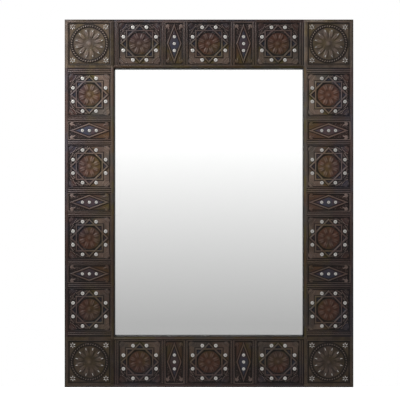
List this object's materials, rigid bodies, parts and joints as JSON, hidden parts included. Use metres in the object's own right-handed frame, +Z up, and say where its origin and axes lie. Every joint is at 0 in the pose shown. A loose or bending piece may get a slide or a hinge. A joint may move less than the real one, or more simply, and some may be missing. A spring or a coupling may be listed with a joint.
{
  "type": "wall mirror",
  "caption": "Upright wall mirror in a wide wooden frame covered with tooled, antiqued leather, with a backing board held by turn buttons and rings on strap hangers.",
  "frame": {"origin": "middle of the frame's outline, in the plane of the wall, where the rubber bumpers touch it", "axes": "+X to the right seen from the front, +Y from the glass towards the wall, +Z up"},
  "size_m": [0.628, 0.028, 0.8],
  "materials": {
    "leather": "tooled, dyed dark brown and olive, antiqued, satin",
    "frame_wood": "planed pine, unfinished",
    "dowel_wood": "turned beech, unfinished",
    "tack_brass": "antiqued",
    "glass": "polished float glass",
    "silver": "silvered, backed with paint",
    "pad_rubber": "matt",
    "foam": "matt foam sheet",
    "hardboard": "pressed hardboard, matt",
    "zinc_steel": "zinc plated, satin",
    "screw_steel": "zinc plated, satin",
    "bumper_rubber": "matt"
  },
  "bodies": {
    "frame": {"left_leather_cover": "leather", "right_leather_cover": "leather", "top_leather_cover": "leather", "bottom_leather_cover": "leather", "left_stile": "frame_wood", "right_stile": "frame_wood", "top_rail": "frame_wood", "bottom_rail": "frame_wood", "corner_dowels": "dowel_wood", "turnover_tacks": "tack_brass", "mirror_glass": "glass", "silver_coat": "silver", "glass_edge_pads": "pad_rubber", "foam_sheet": "foam", "backing_board": "hardboard", "left_hanger_strap": "zinc_steel", "right_hanger_strap": "zinc_steel", "turn_button_screws": "screw_steel", "hanger_screws": "screw_steel", "bumper_screws": "screw_steel", "wall_bumpers": "bumper_rubber"},
    "left_upper_button": {"turn_button_left_upper": "zinc_steel"},
    "left_lower_button": {"turn_button_left_lower": "zinc_steel"},
    "right_upper_button": {"turn_button_right_upper": "zinc_steel"},
    "right_lower_button": {"turn_button_right_lower": "zinc_steel"},
    "top_left_button": {"turn_button_top_left": "zinc_steel"},
    "top_right_button": {"turn_button_top_right": "zinc_steel"},
    "bottom_left_button": {"turn_button_bottom_left": "zinc_steel"},
    "bottom_right_button": {"turn_button_bottom_right": "zinc_steel"},
    "left_ring": {"left_hanging_ring": "zinc_steel"},
    "right_ring": {"right_hanging_ring": "zinc_steel"}
  },
  "joints": [
    {"name": "left_upper_button_turn", "type": "hinge", "parent": "frame", "child": "left_upper_button", "pos_m": [-0.2251, -0.0052, 0.1725], "axis": [0, 1, 0], "continuous": true},
    {"name": "left_lower_button_turn", "type": "hinge", "parent": "frame", "child": "left_lower_button", "pos_m": [-0.2251, -0.0052, -0.1675], "axis": [0, 1, 0], "continuous": true},
    {"name": "right_upper_button_turn", "type": "hinge", "parent": "frame", "child": "right_upper_button", "pos_m": [0.2251, -0.0052, 0.1725], "axis": [0, 1, 0], "continuous": true},
    {"name": "right_lower_button_turn", "type": "hinge", "parent": "frame", "child": "right_lower_button", "pos_m": [0.2251, -0.0052, -0.1675], "axis": [0, 1, 0], "continuous": true},
    {"name": "top_left_button_turn", "type": "hinge", "parent": "frame", "child": "top_left_button", "pos_m": [-0.11, -0.0052, 0.3131], "axis": [0, 1, 0], "continuous": true},
    {"name": "top_right_button_turn", "type": "hinge", "parent": "frame", "child": "top_right_button", "pos_m": [0.11, -0.0052, 0.3131], "axis": [0, 1, 0], "continuous": true},
    {"name": "bottom_left_button_turn", "type": "hinge", "parent": "frame", "child": "bottom_left_button", "pos_m": [-0.11, -0.0052, -0.3081], "axis": [0, 1, 0], "continuous": true},
    {"name": "bottom_right_button_turn", "type": "hinge", "parent": "frame", "child": "bottom_right_button", "pos_m": [0.11, -0.0052, -0.3081], "axis": [0, 1, 0], "continuous": true},
    {"name": "left_ring_swing", "type": "hinge", "parent": "frame", "child": "left_ring", "pos_m": [-0.25975, -0.00315, 0.23], "axis": [1, 0, 0], "range_deg": [0, 180]},
    {"name": "right_ring_swing", "type": "hinge", "parent": "frame", "child": "right_ring", "pos_m": [0.25975, -0.00315, 0.23], "axis": [1, 0, 0], "range_deg": [0, 180]}
  ]
}
